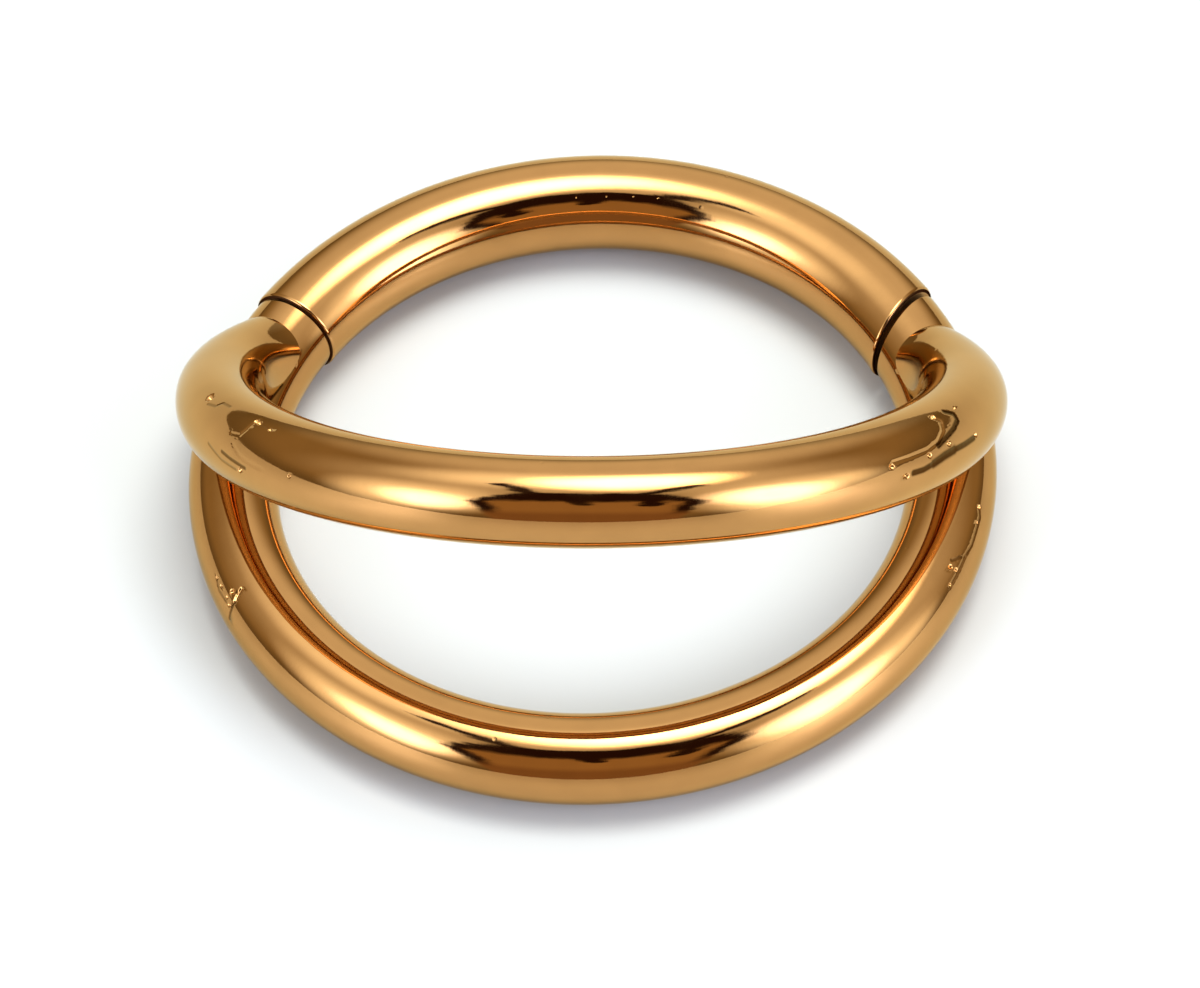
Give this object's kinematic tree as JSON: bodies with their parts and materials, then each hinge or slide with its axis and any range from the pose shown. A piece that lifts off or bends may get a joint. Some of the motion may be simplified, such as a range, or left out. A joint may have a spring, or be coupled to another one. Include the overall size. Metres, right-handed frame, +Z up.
{
  "type": "hinged segment ring",
  "caption": "Polished gold-coloured hoop for a piercing, with a double front of two round bars and a hinged back segment that clicks shut.",
  "frame": {"origin": "on the surface that the ring lies on, below the middle of the hoop", "axes": "+Z up, square to the lower hoop's plane; -Y towards the double front, +Y towards the hinged segment; +X towards the closure, the hinge is at -X"},
  "size_m": [0.0106, 0.0103, 0.0048],
  "materials": {
    "polished_gold": "mirror-polished, thin gold-coloured coating on steel",
    "polished_gold_segment": "mirror-polished, thin gold-coloured coating on steel",
    "pin_gold": "plain drawn wire, gold-coloured"
  },
  "bodies": {
    "front": {"front_hoop": "polished_gold", "hinge_pin": "pin_gold"},
    "segment": {"hinged_segment": "polished_gold_segment"}
  },
  "joints": [
    {"name": "segment_hinge", "type": "hinge", "parent": "front", "child": "segment", "pos_m": [-0.00437, 0.00233, 0.0006], "axis": [0, 0, 1], "range_deg": [0, 60]}
  ]
}
